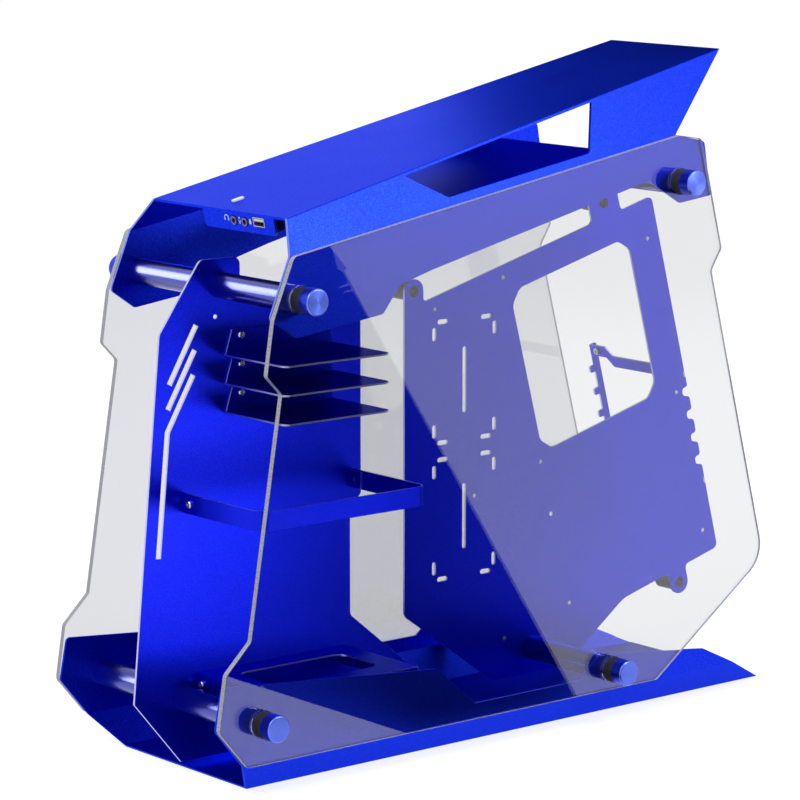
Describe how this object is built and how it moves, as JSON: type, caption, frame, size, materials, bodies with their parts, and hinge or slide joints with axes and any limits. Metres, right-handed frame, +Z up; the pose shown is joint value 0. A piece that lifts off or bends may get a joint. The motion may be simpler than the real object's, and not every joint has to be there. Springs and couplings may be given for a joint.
{
  "type": "computer case",
  "caption": "Open-frame computer case: folded blue metal top and base, glass sides held by knobs on cross pillars, tilted board tray and handle roof.",
  "frame": {"origin": "middle of the bounding box at the floor's underside", "axes": "+X across to the side with the drive shelves, +Y from front to rear, +Z up"},
  "size_m": [0.245, 0.5956, 0.5177],
  "materials": {
    "sheet": "fine-blasted blue anodised",
    "glass": "clear tempered",
    "rubber": "matt",
    "pillar": "polished blue anodised",
    "knob": "satin blue anodised",
    "screw": "plated",
    "brass": "turned",
    "spacer": "dark",
    "board": "solder mask",
    "socket_metal": "plated",
    "socket_plastic": "moulded black",
    "button": "moulded white",
    "switch": "moulded black"
  },
  "bodies": {
    "case": {"audio_jack_1": "socket_plastic", "audio_jack_2": "socket_plastic", "base_shell": "sheet", "board_standoffs": "brass", "bushing_far_lower_front": "rubber", "bushing_far_lower_rear": "rubber", "bushing_far_upper_front": "rubber", "bushing_far_upper_rear": "rubber", "bushing_near_lower_front": "rubber", "bushing_near_lower_rear": "rubber", "bushing_near_upper_front": "rubber", "bushing_near_upper_rear": "rubber", "card_bracket": "sheet", "card_bracket_screw": "screw", "drive_shelf_1": "sheet", "drive_shelf_2": "sheet", "drive_shelf_3": "sheet", "drive_shelf_screws": "screw", "front_plate": "sheet", "glass_far": "glass", "glass_near": "glass", "handle_deck": "sheet", "io_board": "board", "knob_far_lower_front": "knob", "knob_far_lower_rear": "knob", "knob_far_upper_front": "knob", "knob_far_upper_rear": "knob", "knob_near_lower_front": "knob", "knob_near_lower_rear": "knob", "knob_near_upper_front": "knob", "knob_near_upper_rear": "knob", "motherboard_tray": "sheet", "pillar_far_lower_front": "pillar", "pillar_far_lower_rear": "pillar", "pillar_far_upper_front": "pillar", "pillar_far_upper_rear": "pillar", "pillar_near_lower_front": "pillar", "pillar_near_lower_rear": "pillar", "pillar_near_upper_front": "pillar", "pillar_near_upper_rear": "pillar", "power_switch": "switch", "psu_shelf": "sheet", "psu_shelf_screws": "screw", "psu_strap": "sheet", "psu_strap_screws": "screw", "top_shell": "sheet", "tray_spacers": "spacer", "usb_port": "socket_metal"},
    "power_button": {"power_button": "button"}
  },
  "joints": [
    {"name": "power_button_press", "type": "slide", "parent": "case", "child": "power_button", "axis": [0, 0.2156, -0.9765], "range_m": [0, 0.0012], "stiffness_N_per_m": 400, "springref_m": -0.0015}
  ]
}
